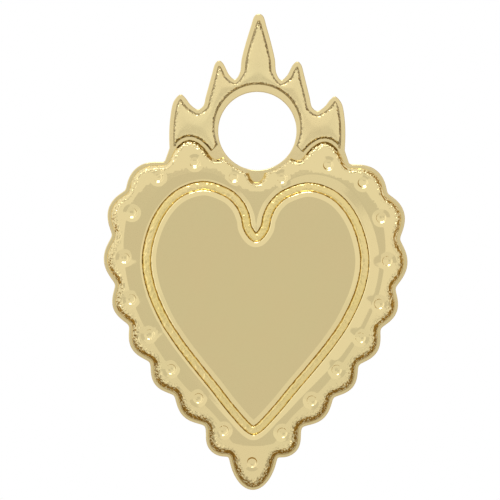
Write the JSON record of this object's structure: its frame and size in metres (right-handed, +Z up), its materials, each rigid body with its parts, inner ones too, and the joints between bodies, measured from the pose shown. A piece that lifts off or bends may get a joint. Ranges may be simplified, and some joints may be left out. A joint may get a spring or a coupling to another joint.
{
  "type": "milagro charm",
  "caption": "Flaming heart charm in gilt sheet brass with a scalloped, dot-punched border round a plain heart and a round hanging hole under the flames.",
  "frame": {"origin": "centre of the hanging hole, on the flat back face of the charm", "axes": "+Z up, towards the tip of the middle flame; the front, with all the raised work, faces -Y; +X to the right as seen from the front; +Y is the outward normal of the back face and the axis of the hanging hole"},
  "size_m": [0.0318, 0.0014, 0.05],
  "materials": {
    "plate_brass": "gold-plated sheet brass, polished flat, with a bright cut edge",
    "border_brass": "gold-plated brass, polished on top, finely wrinkled on the steep outer edge",
    "heart_brass": "gold-plated brass, polished to a plain mirror",
    "wire_brass": "gold-plated brass wire, slightly grainy from soldering",
    "flame_brass": "gold-plated brass, softly polished"
  },
  "bodies": {
    "root": {"back_plate": "plate_brass", "heart_border": "border_brass", "plain_heart": "heart_brass", "heart_wire": "wire_brass", "flame_crown": "flame_brass"}
  },
  "joints": []
}
